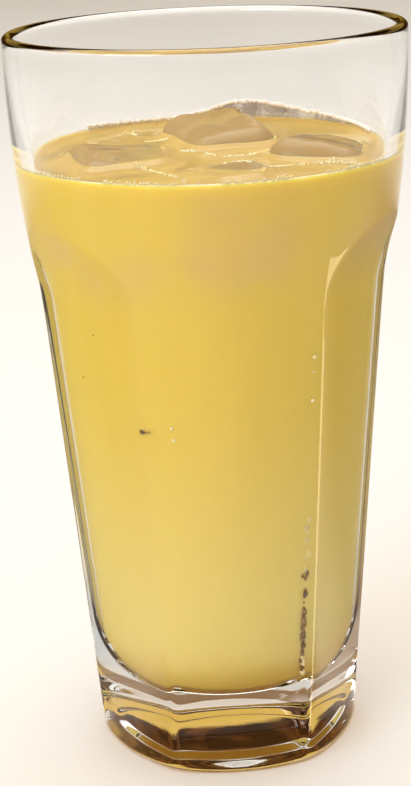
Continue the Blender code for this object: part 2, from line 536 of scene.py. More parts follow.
@dataclass(frozen=True)
class Finish:
    """What every finish shares: a Principled shader, waves in its surface and a way to place groups."""

    name: str
    base_top: tuple[float, float] = field(default=(0.008, 0.03), kw_only=True)

    def start(self) -> tuple[bpy.types.Material, NodeTable, bpy.types.Node, bpy.types.NodeSocket]:
        """Makes an empty material.

        Returns:
            The material, its node table, its Principled shader and the place on the object.
        """
        material = bpy.data.materials.new(self.name)
        material.use_nodes = True
        table = NodeTable(material.node_tree)
        shader = material.node_tree.nodes["Principled BSDF"]
        place = table.add("ShaderNodeTexCoord").outputs["Object"]
        return material, table, shader, place

    def waves(
        self,
        table: NodeTable,
        place: bpy.types.NodeSocket,
        shader: bpy.types.Node,
        scales: tuple[float, float, float],
        height: float,
    ) -> None:
        """Puts soft waves in the shader's normal.

        Args:
            table: The material's node table.
            place: The place on the object.
            shader: The Principled shader.
            scales: Broad scale, fine scale and the share of the fine waves.
            height: Height of the waves in millimetres.
        """
        ripple = table.add("ShaderNodeGroup", node_tree=EFFECTS.ripple())
        for socket, value in zip(("Broad", "Fine", "Fine Share"), scales):
            ripple.inputs[socket].default_value = value
        table.join(place, ripple.inputs["Place"])
        bump = table.add("ShaderNodeBump", Strength=1.0, Distance=height * MM)
        table.join(ripple.outputs["Height"], bump.inputs["Height"])
        table.join(bump.outputs["Normal"], shader.inputs["Normal"])

    def haze(
        self, table: NodeTable, place: bpy.types.NodeSocket, scale: float, thin: float, thick: float
    ) -> bpy.types.NodeSocket:
        """Places the cloud group.

        Args:
            table: The material's node table.
            place: The place on the object.
            scale: Scale of the haze.
            thin: Noise value where the haze starts.
            thick: Noise value where it is full.

        Returns:
            The haze, from 0 to 1.
        """
        cloud = table.add("ShaderNodeGroup", node_tree=EFFECTS.cloud())
        for socket, value in (("Scale", scale), ("Thin", thin), ("Thick", thick)):
            cloud.inputs[socket].default_value = value
        table.join(place, cloud.inputs["Place"])
        return cloud.outputs["Haze"]

    def low_share(
        self, table: NodeTable, place: bpy.types.NodeSocket, low: float, high: float
    ) -> bpy.types.NodeSocket:
        """Works out how low a point lies.

        Args:
            table: The material's node table.
            place: The place on the object.
            low: Height in metres below which the share is 1.
            high: Height in metres above which it is 0.

        Returns:
            The share, from 0 to 1.
        """
        height = table.add("ShaderNodeSeparateXYZ")
        table.join(place, height.inputs[0])
        share = table.add("ShaderNodeMapRange", interpolation_type="SMOOTHSTEP")
        for socket, value in (("From Min", high), ("From Max", low), ("To Min", 0.0), ("To Max", 1.0)):
            share.inputs[socket].default_value = value
        table.join(height.outputs["Z"], share.inputs["Value"])
        return share.outputs["Result"]

    def let_light_through(
        self,
        table: NodeTable,
        place: bpy.types.NodeSocket,
        shader: bpy.types.Node,
        tint: Colour,
        low_tint: Colour,
    ) -> None:
        """Lets soft light pass straight through a clear piece, so that what is behind it is lit.

        Args:
            table: The material's node table.
            place: The place on the object.
            shader: The Principled shader.
            tint: Colour of the light after one surface.
            low_tint: The same near the foot, where the thick base holds light back.
        """
        path = table.add("ShaderNodeLightPath")
        soft = table.maths("MAXIMUM", path.outputs["Is Shadow Ray"], path.outputs["Is Diffuse Ray"])
        clear = table.add("ShaderNodeBsdfTransparent")
        low = self.low_share(table, place, *self.base_top)
        table.join(table.blend(low, tint, low_tint), clear.inputs["Color"])
        table.show(table.mix(soft, shader, clear))


@dataclass(frozen=True)
class PressedGlass(Finish):
    """Clear pressed soda glass with slow waves in its surface."""

    colour: Colour = (0.985, 0.985, 0.98)
    roughness: float = 0.0
    refraction: float = 1.5
    tint: Colour = (0.96, 0.96, 0.955)
    low_tint: Colour = (0.66, 0.5, 0.24)
    wave_height: float = 0.05

    def material(self) -> bpy.types.Material:
        """Makes the material.

        Returns:
            The material.
        """
        material, table, shader, place = self.start()
        shader.inputs["Roughness"].default_value = self.roughness
        shader.inputs["IOR"].default_value = self.refraction
        shader.inputs["Transmission Weight"].default_value = 1.0
        haze = self.haze(table, place, 25.0, 0.3, 0.8)
        shade = table.blend(haze, self.colour, darker(self.colour, 0.985))
        table.join(shade, shader.inputs["Base Color"])
        self.waves(table, place, shader, (70.0, 260.0, 0.15), self.wave_height)
        self.let_light_through(table, place, shader, self.tint, self.low_tint)
        return material


@dataclass(frozen=True)
class CloudyDrink(Finish):
    """Lemonade clouded with pulp, paler where ice lies close behind it."""

    colour: Colour = (0.78, 0.588, 0.09)
    deep: Colour = (0.745, 0.56, 0.078)
    low: Colour = (0.78, 0.655, 0.225)
    over_ice: Colour = (0.705, 0.515, 0.175)
    roughness: float = 0.5
    specular: float = 0.0
    scatter: float = 1.0
    depth: float = 2.5
    wave_height: float = 0.0
    streaking: float = 0.18
    against_glass: bool = True
    thinner: float = 0.89
    glow: Colour = (0.75, 0.5, 0.1)
    paler_below: tuple[float, float] = (0.02, 0.09)
    attribute: str = "ice_near"

    def material(self) -> bpy.types.Material:
        """Makes the material.

        Returns:
            The material.
        """
        material, table, shader, place = self.start()
        shader.inputs["Roughness"].default_value = self.roughness
        shader.inputs["Specular IOR Level"].default_value = self.specular
        shader.inputs["IOR"].default_value = 1.33
        shader.inputs["Subsurface Weight"].default_value = self.scatter
        shader.inputs["Subsurface Radius"].default_value = (1.0, 0.95, 0.85)
        shader.inputs["Subsurface Scale"].default_value = self.depth * MM
        drawn = table.add("ShaderNodeVectorMath", operation="MULTIPLY")
        table.join(place, drawn.inputs[0])
        drawn.inputs[1].default_value = (1.0, 1.0, self.streaking)
        haze = self.haze(table, drawn.outputs[0], 60.0, 0.3, 0.75)
        mottled = table.blend(haze, self.colour, self.deep)
        lower = table.blend(self.low_share(table, place, *self.paler_below), mottled, self.low)
        near = table.add("ShaderNodeAttribute", attribute_name=self.attribute)
        paler = table.blend(near.outputs["Fac"], lower, self.over_ice)
        table.join(paler, shader.inputs["Base Color"])
        if self.wave_height:
            self.waves(table, place, shader, (140.0, 700.0, 0.2), self.wave_height)
        if self.against_glass:
            self.mirror_at_grazing(table, shader)
        self.glow_in_shadow(table)
        return material

    def glow_in_shadow(self, table: NodeTable) -> None:
        """Lets some yellow light through to the floor, as a cloudy drink does in strong light.

        Args:
            table: The material's node table.
        """
        seen = table.tree.nodes["Material Output"].inputs["Surface"].links[0].from_node
        path = table.add("ShaderNodeLightPath")
        clear = table.add("ShaderNodeBsdfTransparent", Color=(*self.glow, 1.0))
        table.show(table.mix(path.outputs["Is Shadow Ray"], seen, clear))

    def mirror_at_grazing(self, table: NodeTable, shader: bpy.types.Node) -> None:
        """Reflects what comes flatly through the glass, as glass does against a thinner liquid.

        Args:
            table: The material's node table.
            shader: The Principled shader.
        """
        share = table.add("ShaderNodeFresnel", IOR=self.thinner)
        mirror = table.add("ShaderNodeBsdfGlossy", Roughness=0.02)
        table.show(table.mix(share.outputs[0], shader, mirror))


@dataclass(frozen=True)
class MeltingIce(Finish):
    """Wet ice, clear at its skin and hazy inside, with the drink's colour in it."""

    colour: Colour = (0.46, 0.30, 0.08)
    hazy: Colour = (0.50, 0.345, 0.125)
    roughness: float = 0.06
    clearness: float = 0.15
    tint: Colour = (0.97, 0.95, 0.88)
    wave_height: float = 0.25

    def material(self) -> bpy.types.Material:
        """Makes the material.

        Returns:
            The material.
        """
        material, table, shader, place = self.start()
        shader.inputs["Roughness"].default_value = self.roughness
        shader.inputs["IOR"].default_value = 1.31
        shader.inputs["Transmission Weight"].default_value = self.clearness
        shader.inputs["Subsurface Weight"].default_value = 0.6
        shader.inputs["Subsurface Scale"].default_value = 3.0 * MM
        haze = self.haze(table, place, 90.0, 0.35, 0.7)
        table.join(table.blend(haze, self.colour, self.hazy), shader.inputs["Base Color"])
        self.waves(table, place, shader, (110.0, 420.0, 0.25), self.wave_height)
        self.let_light_through(table, place, shader, self.tint, self.tint)
        return material


@dataclass(frozen=True)
class BubbleFilm(Finish):
    """The thin wet film of a bubble: clear in the middle and bright at its edge."""

    colour: Colour = (0.98, 0.94, 0.78)
    golden: Colour = (0.95, 0.85, 0.6)
    roughness: float = 0.05
    rim_power: float = 1.6
    cover: tuple[float, float] = (0.1, 0.75)

    def material(self) -> bpy.types.Material:
        """Makes the material.

        Returns:
            The material.
        """
        material, table, shader, place = self.start()
        shader.inputs["Roughness"].default_value = self.roughness
        shader.inputs["IOR"].default_value = 1.33
        haze = self.haze(table, place, 400.0, 0.3, 0.7)
        shade = table.blend(haze, self.colour, self.golden)
        table.join(shade, shader.inputs["Base Color"])
        facing = table.add("ShaderNodeLayerWeight", Blend=0.45)
        rim = table.maths("POWER", facing.outputs["Facing"], self.rim_power)
        cover = table.maths("MULTIPLY_ADD", rim, self.cover[1])
        cover.node.inputs[2].default_value = self.cover[0]
        table.join(cover, shader.inputs["Alpha"])
        return material


@dataclass(frozen=True)
class FineFoamAndHighlight(Finish):
    """Foam of bubbles too small to tell apart: pale and matt; the same finish also paints highlights
    along the meniscus.
    """

    colour: Colour = (0.86, 0.74, 0.3)
    pale: Colour = (0.93, 0.86, 0.55)
    roughness: float = 0.4

    def material(self) -> bpy.types.Material:
        """Makes the material.

        Returns:
            The material.
        """
        material, table, shader, place = self.start()
        shader.inputs["Roughness"].default_value = self.roughness
        haze = self.haze(table, place, 120.0, 0.4, 0.6)
        table.join(table.blend(haze, self.colour, self.pale), shader.inputs["Base Color"])
        return material


@dataclass
class Tumbler:
    """The pressed glass: one skin from the recess, up the outside, over the lip and down inside."""

    shape: TumblerShape = field(default_factory=TumblerShape)
    finish: PressedGlass = field(default_factory=lambda: PressedGlass("clear_glass_finish"))
    per_half_facet: int = 30

    def level_ring(self, radius: float, z: float) -> Ring:
        """A flat round ring."""
        return lambda angle: (radius, z)

    def skin_ring(self, z: float, inset: float = 0.0) -> Ring:
        """A ring of the outside at one height."""
        return lambda angle: (self.shape.outside(angle, z) - inset, z)

    def underside(self) -> list[Ring]:
        """The shallow recess and the flat foot ring round it.

        Returns:
            The rings, from the middle out.
        """
        s = self.shape
        start = s.recess_radius - s.recess_slope
        rings = [self.level_ring(radius, s.recess_depth) for radius in spaced(1.0, start - 1.0, 6)]
        for share in spaced(0.0, 1.0, 12):
            dip = s.recess_depth * 0.5 * (1 + math.cos(math.pi * share))
            rings.append(self.level_ring(start + s.recess_slope * share, dip))
        foot = spaced(s.recess_radius + 0.6, s.recess_radius + 2.4, 2)
        rings += [self.level_ring(radius, 0.0) for radius in foot]
        return rings

    def outside(self) -> list[Ring]:
        """The foot's round, the six facets, the arches and the round mouth.

        Returns:
            The rings, from the foot up, closest together in the arches.
        """
        s = self.shape
        rings = []
        for turn in spaced(0.0, math.pi / 2, 8):
            inset = s.foot_round * (1 - math.sin(turn))
            rings.append(self.skin_ring(s.foot_round * (1 - math.cos(turn)), inset))
        shoulder, top = s.shoulder_height, s.shoulder_height + s.arch_rise
        mouth = s.height - s.lip_thickness / 2 - 1
        spans = (
            (2.0, 12.0, 12),
            (15.0, shoulder - 9, 22),
            (shoulder - 8, shoulder - 2, 8),
            (shoulder - 1.5, top + 0.4, 44),
            (top + 1.2, mouth, 16),
        )
        for low, high, steps in spans:
            rings += [self.skin_ring(z) for z in spaced(low, high, steps)]
        return rings

    def lip(self) -> list[Ring]:
        """The full round over the top of the wall.

        Returns:
            The rings, from the outside in.
        """
        radius = self.shape.lip_thickness / 2
        middle = self.shape.mouth_radius - radius
        top = self.shape.height - radius
        return [
            self.level_ring(middle + radius * math.cos(turn), top + radius * math.sin(turn))
            for turn in spaced(0.0, math.pi, 20)
        ]

    def inside(self) -> list[Ring]:
        """The inside of the wall and the floor of the well.

        Returns:
            The rings, from the lip down.
        """
        heights = spaced(24.0, self.shape.height - 3.0, 62)
        points = self.shape.well(heights, 0.0)
        rings = [self.level_ring(radius, z) for radius, z in reversed(points)]
        inner = points[0][0]
        floor = self.shape.floor_height
        rings += [self.level_ring(radius, floor) for radius in spaced(inner - 1.0, 1.0, 5)]
        return rings

    def build(self) -> bpy.types.Object:
        """Builds and dresses the tumbler.

        Returns:
            The piece.
        """
        angles = self.shape.angles(self.per_half_facet)
        rings = self.underside() + self.outside() + self.lip() + self.inside()
        mesh = BENCH.loft(rings, angles)
        piece = BENCH.finish("tumbler", mesh, [self.finish.material()])
        BENCH.hand_over(piece, Slot.GLASS, "glass")
        return piece


@dataclass
class IceLump:
    """A melted ice cube: well rounded, slightly dented and smooth with melt."""

    node: str
    size: Size
    centre: Size
    turn: Size
    seed: int
    rounding: float = 5.0
    round_steps: int = 9
    warp: float = 0.7
    warp_pitch: float = 1.6
    dimple: float = 0.12
    dimple_pitch: float = 0.45

    def shape(self, spare: float) -> bmesh.types.BMesh:
        """Builds the lump in place.

        Args:
            spare: How much bigger it is all round, in millimetres.

        Returns:
            A closed mesh in metres.
        """
        mesh = bmesh.new()
        bmesh.ops.create_cube(mesh, size=1.0)
        bmesh.ops.scale(mesh, vec=Vector(self.size) + Vector((2, 2, 2)) * spare, verts=mesh.verts)
        bmesh.ops.bevel(
            mesh,
            geom=mesh.edges[:],
            offset=self.rounding + spare,
            segments=self.round_steps,
            profile=0.5,
            affect="EDGES",
            material=-1,
        )
        long_edges = [edge for edge in mesh.edges if edge.calc_length() > 3.0]
        bmesh.ops.subdivide_edges(mesh, edges=long_edges, cuts=12, use_grid_fill=True)
        for corner in mesh.verts:
            direction = corner.co.normalized()
            dent = noise.noise(direction * self.warp_pitch + Vector((self.seed, 0, 0)))
            pit = noise.noise(corner.co * self.dimple_pitch + Vector((0, self.seed * 7.0, 0)))
            corner.co += direction * (self.warp * dent + self.dimple * pit)
        placed = Matrix.Translation(Vector(self.centre)) @ self.turned()
        bmesh.ops.transform(mesh, matrix=Matrix.Scale(MM, 4) @ placed, verts=mesh.verts)
        return mesh

    def turned(self) -> Matrix:
        """The lump's turn."""
        x, y, z = (math.radians(angle) for angle in self.turn)
        return Matrix.Rotation(z, 4, "Z") @ Matrix.Rotation(y, 4, "Y") @ Matrix.Rotation(x, 4, "X")

    def build(self, material: bpy.types.Material) -> bpy.types.Object:
        """Builds and dresses the lump.

        Args:
            material: The ice's finish.

        Returns:
            The piece.
        """
        piece = BENCH.finish(self.node + "_lump", self.shape(0.0), [material])
        BENCH.hand_over(piece, Slot.ICE, self.node)
        return piece


@dataclass
class IceLoad:
    """The four lumps at the surface of the drink."""

    finish: MeltingIce = field(default_factory=lambda: MeltingIce("melting_ice_finish"))
    lumps: tuple[IceLump, ...] = (
        IceLump("ice_back", (20, 25, 20), (3.9, 13.2, 118.4), (7, -5, 12), 0),
        IceLump("ice_right", (20, 19, 19), (20.8, -8.6, 117.8), (-5, 6, -24), 1),
        IceLump("ice_left", (22, 22, 19), (-18.5, -3.5, 116.4), (4, 5, 10), 2),
        IceLump("ice_front", (18, 16, 18), (1.5, -23.7, 116.3), (6, -4, 6), 3),
    )

    def build(self) -> list[bpy.types.Object]:
        """Builds and dresses every lump."""
        material = self.finish.material()
        return [lump.build(material) for lump in self.lumps]

    def skins(self) -> list[BVHTree]:
        """Makes a search tree of each lump's skin.

        Returns:
            The trees, in metres.
        """
        trees = []
        for lump in self.lumps:
            mesh = lump.shape(0.0)
            trees.append(BVHTree.FromBMesh(mesh))
            mesh.free()
        return trees


@dataclass
class Lemonade:
    """The drink: a cloudy body that wets the wall and climbs a little at the glass and the ice."""

    shape: TumblerShape
    ice: IceLoad
    body_finish: CloudyDrink = field(default_factory=lambda: CloudyDrink("lemonade_finish"))
    # The surface is a darker copy of the drink's colours: painted shade on the top of the same
    # lemonade.
    painted_shade_top_finish: CloudyDrink = field(
        default_factory=lambda: CloudyDrink(
            "lemonade_surface_finish",
            colour=(0.655, 0.44, 0.085),
            deep=(0.60, 0.40, 0.07),
            over_ice=(0.65, 0.435, 0.11),
            streaking=1.0,
            roughness=0.03,
            specular=0.5,
            wave_height=0.12,
            against_glass=False,
        )
    )
    pocket_finish: CloudyDrink = field(
        default_factory=lambda: CloudyDrink("lemonade_pocket_finish", against_glass=False)
    )
    overlap: float = 0.05
    settling: float = 0.5
    wall_rise: float = 1.1
    wall_reach: float = 1.0
    ice_rise: float = 1.1
    ice_reach: float = 0.9
    swell: float = 0.15
    swell_pitch: float = 0.11
    near_ice: float = 3.4
    ragged: float = 1.6
    ragged_pitch: float = 0.16
    sunk: tuple[tuple[float, float, float, float], ...] = (
        (-19.5, -16.4, 107.5, 4.2),
        (-13.1, -21.9, 109.5, 4.4),
        (1.0, -26.0, 114.5, 4.6),
        (17.7, -18.3, 111.0, 4.4),
    )
    per_half_facet: int = 30
    top_rings: int = 56
    ring_crowding: float = 1.15
    top_depth: float = 2.0
    top_slope: float = 0.35

    def surface_height(self, x: float, y: float, edge: float, skins: Sequence[BVHTree]) -> float:
        """Height of the drink's surface at one point.

        Args:
            x: Across, in millimetres.
            y: Along the view, in millimetres.
            edge: Radius at which the surface meets the wall.
            skins: Search trees of the ice.

        Returns:
            The height in millimetres.
        """
        level = self.shape.level
        gap = max(0.0, edge - math.hypot(x, y))
        rise = self.wall_rise * math.exp(-gap / self.wall_reach)
        point = Vector((x, y, level)) * MM
        for skin in skins:
            spot, normal, _, distance = skin.find_nearest(point)
            inside = (point - spot).dot(normal) < 0
            away = 0.0 if inside else distance / MM
            rise = max(rise, self.ice_rise * math.exp(-away / self.ice_reach))
        waves = self.swell * noise.noise(Vector((x, y, 3.0)) * self.swell_pitch)
        return level - self.settling + rise + waves

    def contact(self) -> float:
        """Height at which the surface meets the wall."""
        return self.shape.level - self.settling + self.wall_rise

    def rings(self, skins: Sequence[BVHTree]) -> list[Ring]:
        """Rings from the middle of the floor, up the wall and in over the surface.

        Args:
            skins: Search trees of the ice.

        Returns:
            The rings.
        """
        top = self.contact()
        points = self.shape.well(spaced(26.0, 96.0, 16) + spaced(98.0, top, 26), -self.overlap)
        inner, floor = points[0]
        flat = [(radius, floor) for radius in spaced(1.0, inner - 1, 5)]
        rings: list[Ring] = [lambda angle, point=point: point for point in flat + points]
        edge = points[-1][0]
        for step in range(1, self.top_rings):
            radius = edge * (1 - step / self.top_rings) ** self.ring_crowding

            def over(angle: float, radius: float = radius) -> tuple[float, float]:
                """Radius and height of a ring of the surface."""
                x, y = radius * math.sin(angle), -radius * math.cos(angle)
                return radius, self.surface_height(x, y, edge, skins)

            rings.append(over)
        return rings

    def pockets(self, material: bpy.types.Material) -> bpy.types.Collection:
        """Cutters for the ice, a little inside its skin, so that ice and drink touch.

        Args:
            material: The finish of the pockets' walls.

        Returns:
            A collection with one cutter for each lump.
        """
        cutters = bpy.data.collections.new("pockets")
        for lump in self.ice.lumps:
            data = bpy.data.meshes.new(lump.node + "_pocket")
            mesh = lump.shape(-self.overlap)
            mesh.to_mesh(data)
            mesh.free()
            for _ in range(3):
                data.materials.append(material)
            data.polygons.foreach_set("material_index", [2] * len(data.polygons))
            cutters.objects.link(bpy.data.objects.new(data.name, data))
        return cutters

    def cut(self, piece: bpy.types.Object, cutters: bpy.types.Collection) -> None:
        """Cuts the pockets into the drink, and removes the cutters.

        Args:
            piece: The drink.
            cutters: The pockets.
        """
        cut = piece.modifiers.new("pockets", "BOOLEAN")
        cut.operation = "DIFFERENCE"
        cut.operand_type = "COLLECTION"
        cut.collection = cutters
        cut.solver = "EXACT"
        bpy.context.scene.collection.children.link(cutters)
        graph = bpy.context.evaluated_depsgraph_get()
        result = bpy.data.meshes.new_from_object(piece.evaluated_get(graph))
        piece.modifiers.clear()
        piece.data = result
        for item in list(cutters.objects):
            bpy.data.objects.remove(item, do_unlink=True)
        bpy.data.collections.remove(cutters)

    def mark_ice(self, piece: bpy.types.Object, skins: Sequence[BVHTree]) -> None:
        """Stores how close ice, also sunk ice, lies behind each point of the drink's skin.

        Args:
            piece: The drink.
            skins: Search trees of the ice.
        """
        near = piece.data.attributes.new(self.body_finish.attribute, "FLOAT", "POINT")
        for index, corner in enumerate(piece.data.vertices):
            point = corner.co / MM
            gaps = [skin.find_nearest(corner.co)[3] / MM for skin in skins]
            gaps += [(point - Vector(centre)).length - radius for *centre, radius in self.sunk]
            distance = max(0.0, min(gaps) + self.ragged * noise.noise(point * self.ragged_pitch))
            near.data[index].value = math.exp(-((distance / self.near_ice) ** 1.5))

    def build(self) -> bpy.types.Object:
        """Builds and dresses the drink.

        Returns:
            The piece.
        """
        skins = self.ice.skins()
        mesh = BENCH.loft(self.rings(skins), self.shape.angles(self.per_half_facet))
        # Faces of the surface take the darker copy, which paints shade on the drink's top.
        for face in mesh.faces:
            over = face.calc_center_median().z > (self.shape.level - self.top_depth) * MM
            face.material_index = int(over and face.normal.z > self.top_slope)
        finishes = (self.body_finish, self.painted_shade_top_finish, self.pocket_finish)
        materials = [finish.material() for finish in finishes]
        piece = BENCH.finish("lemonade_drink", mesh, materials)
        self.cut(piece, self.pockets(materials[2]))
        self.mark_ice(piece, skins)
        BENCH.hand_over(piece, Slot.DRINK, "lemonade")
        return piece


@dataclass
class Froth:
    """Bubbles at the waterline, a line of film on the wall behind the ice, and streaks of foam; the
    line and the streaks also paint meniscus highlights.
    """

    drink: Lemonade
    film: BubbleFilm = field(default_factory=lambda: BubbleFilm("bubble_film_finish"))
    foam: FineFoamAndHighlight = field(default_factory=lambda: FineFoamAndHighlight("fine_foam_finish"))
    # Near-white beads of the line on the wall: the film line itself, and a painted highlight along the
    # meniscus behind the ice.
    line: FineFoamAndHighlight = field(
        default_factory=lambda: FineFoamAndHighlight("wall_line_finish", (0.97, 0.9, 0.84), (0.99, 0.97, 0.95))
    )
    seed: int = 11
    small: float = 0.3
    front_count: int = 360
    front_span: tuple[float, float] = (-88, 72)
    front_gaps: float = -0.25
    front_bubbles: tuple[float, ...] = (-62, -47, -33, -30, -16, -13, -9, 2, 5, 7, 10, 14, 31)
    back_rows: tuple[tuple[float, float, int], ...] = ((186, 215, 17), (116, 158, 24))
    degree_width: float = 0.63
    line_step: float = 0.16
    streak_step: float = 0.11
    streak_gaps: float = -0.22
    streak_width: float = 0.3
    # Bearing and height along the line of film, whose beads also paint the meniscus highlight.
    film_line: tuple[tuple[float, float], ...] = (
        (222, 126.0), (205, 125.5), (192, 125.5), (184, 125.6), (180, 126.3), (174.5, 126.8),
        (169.5, 127.8), (165, 128.6), (157, 128.8), (148.5, 128.0), (136, 126.9), (123.5, 126.4),
        (112, 125.9), (98, 125.4),
    )
    # Streaks of fine foam along the edges of the ice, which also paint the highlights of the meniscus
    # there.
    streaks: tuple[tuple[tuple[float, float], ...], ...] = (
        ((-15.3, -12.1), (-11.9, -17.6), (-8.3, -23.1)),
        ((-14.3, 25.6), (-11.5, 14.1), (-7.1, 13.9)),
        ((-5.5, 1.0), (-2.0, -0.8), (1.3, -4.9)),
        ((0.5, -17.2), (5.4, -21.2), (14.4, -18.2), (21.7, -18.9), (27.7, -20.6)),
        ((18.0, 1.8), (23.5, 0.9), (28.6, -1.7), (30.1, -9.6)),
        ((1.1, -6.1), (7.4, -6.0), (12.6, -2.1), (16.7, 1.0)),
    )
    single: tuple[tuple[float, float, float], ...] = (
        (-7.5, -28.6, 0.55), (-19.9, -10.6, 0.55), (-22.7, -7.5, 0.4), (-26.7, -5.0, 0.4),
        (-17.6, 16.2, 0.45), (-15.8, 24.8, 0.4), (-16.4, -24.7, 0.35), (-18.6, 17.2, 0.3),
        (-24.0, 12.0, 0.3), (11.0, -28.0, 0.35),
    )

    def bubble(
        self,
        mesh: bmesh.types.BMesh,
        place: Vector,
        radius: float,
        finish: int = 0,
        stretch: float = 1.0,
    ) -> None:
        """Adds one bubble.

        Args:
            mesh: The mesh it joins.
            place: Its centre, in millimetres.
            radius: Its radius, in millimetres.
            finish: Index of its material: clear film, fine foam, or the line on the wall, which is also
                a painted highlight.
            stretch: How many times taller than wide it is.
        """
        fineness = 1 if radius < self.small else 2
        placed = Matrix.Translation(place * MM) @ Matrix.Diagonal((1.0, 1.0, stretch, 1.0))
        made = bmesh.ops.create_icosphere(
            mesh, subdivisions=fineness, radius=radius * MM, matrix=placed
        )
        for face in {face for corner in made["verts"] for face in corner.link_faces}:
            face.material_index = finish

    def on_wall(self, bearing: float, z: float, radius: float) -> Vector:
        """Where a bubble touches the wall.

        Args:
            bearing: Bearing from the front, in degrees.
            z: Its height.
            radius: Its radius.

        Returns:
            Its centre, in millimetres.
        """
        angle = math.radians(bearing)
        out = self.drink.shape.wall(z) - radius * 1.05
        return Vector((out * math.sin(angle), -out * math.cos(angle), z))

    def waterline(self, mesh: bmesh.types.BMesh, chance: random.Random) -> None:
        """Fine bubbles along the front, and rows of larger ones behind the ice.

        Args:
            mesh: The mesh they join.
            chance: Source of random numbers.
        """
        contact = self.drink.contact()
        for _ in range(self.front_count):
            bearing = chance.uniform(*self.front_span)
            if noise.noise(Vector((bearing * 0.06, 0.0, 0.0))) < self.front_gaps:
                continue
            radius = chance.uniform(0.1, 0.24)
            place = self.on_wall(bearing, contact + chance.uniform(-0.05, 0.35), radius)
            self.bubble(mesh, place, radius, 1)
        for bearing in self.front_bubbles:
            radius = chance.uniform(0.28, 0.42)
            self.bubble(mesh, self.on_wall(bearing, contact + 0.2, radius), radius)
        for first, last, count in self.back_rows:
            for step in range(count):
                bearing = first + (last - first) * (step + chance.uniform(-0.4, 0.4)) / count
                radius = chance.uniform(0.36, 0.62)
                z = contact + chance.uniform(0.0, 0.5)
                self.bubble(mesh, self.on_wall(bearing, z, radius), radius)

    def wall_line(self, mesh: bmesh.types.BMesh, chance: random.Random) -> None:
        """The line of film that the drink leaves on the wall behind the ice, in near-white beads that
        also paint the meniscus highlight there.

        Args:
            mesh: The mesh it joins.
            chance: Source of random numbers.
        """
        for (first, low), (last, high) in zip(self.film_line, self.film_line[1:]):
            count = max(2, int(abs(last - first) * self.degree_width / self.line_step))
            for step in range(count):
                share = step / count
                radius = chance.uniform(0.24, 0.46)
                z = low + (high - low) * share + chance.gauss(0.0, 0.1)
                self.bubble(mesh, self.on_wall(first + (last - first) * share, z, radius), radius, 2)

    def top_of(self, x: float, y: float, skins: Sequence[BVHTree]) -> float:
        """Height of the drink or of the ice, whichever is higher.

        Args:
            x: Across, in millimetres.
            y: Along the view, in millimetres.
            skins: Search trees of the ice.

        Returns:
            The height in millimetres.
        """
        shape = self.drink.shape
        heights = [self.drink.surface_height(x, y, shape.wall(shape.level), skins)]
        for skin in skins:
            spot = skin.ray_cast(Vector((x, y, shape.height)) * MM, Vector((0.0, 0.0, -1.0)))[0]
            if spot:
                heights.append(spot.z / MM)
        return max(heights)

    def on_surface(
        self, mesh: bmesh.types.BMesh, chance: random.Random, skins: Sequence[BVHTree]
    ) -> None:
        """Streaks of fine foam at the edges of the ice, which also paint the meniscus highlights there,
        and single bubbles.

        Args:
            mesh: The mesh they join.
            chance: Source of random numbers.
            skins: Search trees of the ice.
        """
        for streak in self.streaks:
            for start, end in zip(streak, streak[1:]):
                first, last = Vector((*start, 0.0)), Vector((*end, 0.0))
                count = max(2, int((last - first).length / self.streak_step))
                for step in range(count):
                    spot = first.lerp(last, step / count)
                    if noise.noise(spot * 0.35) < self.streak_gaps:
                        continue
                    radius = chance.uniform(0.12, 0.3)
                    x = spot.x + chance.gauss(0.0, self.streak_width)
                    y = spot.y + chance.gauss(0.0, self.streak_width)
                    place = Vector((x, y, self.top_of(x, y, skins) - radius * 0.3))
                    self.bubble(mesh, place, radius, 1)
        for x, y, radius in self.single:
            self.bubble(mesh, Vector((x, y, self.top_of(x, y, skins) + radius * 0.3)), radius)

    def build(self) -> bpy.types.Object:
        """Builds and dresses the bubbles as one piece.

        Returns:
            The piece.
        """
        mesh = bmesh.new()
        chance = random.Random(self.seed)
        self.waterline(mesh, chance)
        self.wall_line(mesh, chance)
        self.on_surface(mesh, chance, self.drink.ice.skins())
        finishes = [self.film.material(), self.foam.material(), self.line.material()]
        piece = BENCH.finish("waterline_bubbles", mesh, finishes)
        BENCH.hand_over(piece, Slot.DRINK)
        return piece


@dataclass(frozen=True)
class PulpFleckAndShade(Finish):
    """A fleck of dark peel or pulp; the same finish also paints a strip of shade by the right ridge."""

    colour: Colour = (0.13, 0.06, 0.012)
    lighter: Colour = (0.34, 0.2, 0.05)
    roughness: float = 0.6

    def material(self) -> bpy.types.Material:
        """Makes the material.

        Returns:
            The material.
        """
        material, table, shader, place = self.start()
        shader.inputs["Roughness"].default_value = self.roughness
        haze = self.haze(table, place, 900.0, 0.4, 0.6)
        table.join(table.blend(haze, self.colour, self.lighter), shader.inputs["Base Color"])
        return material


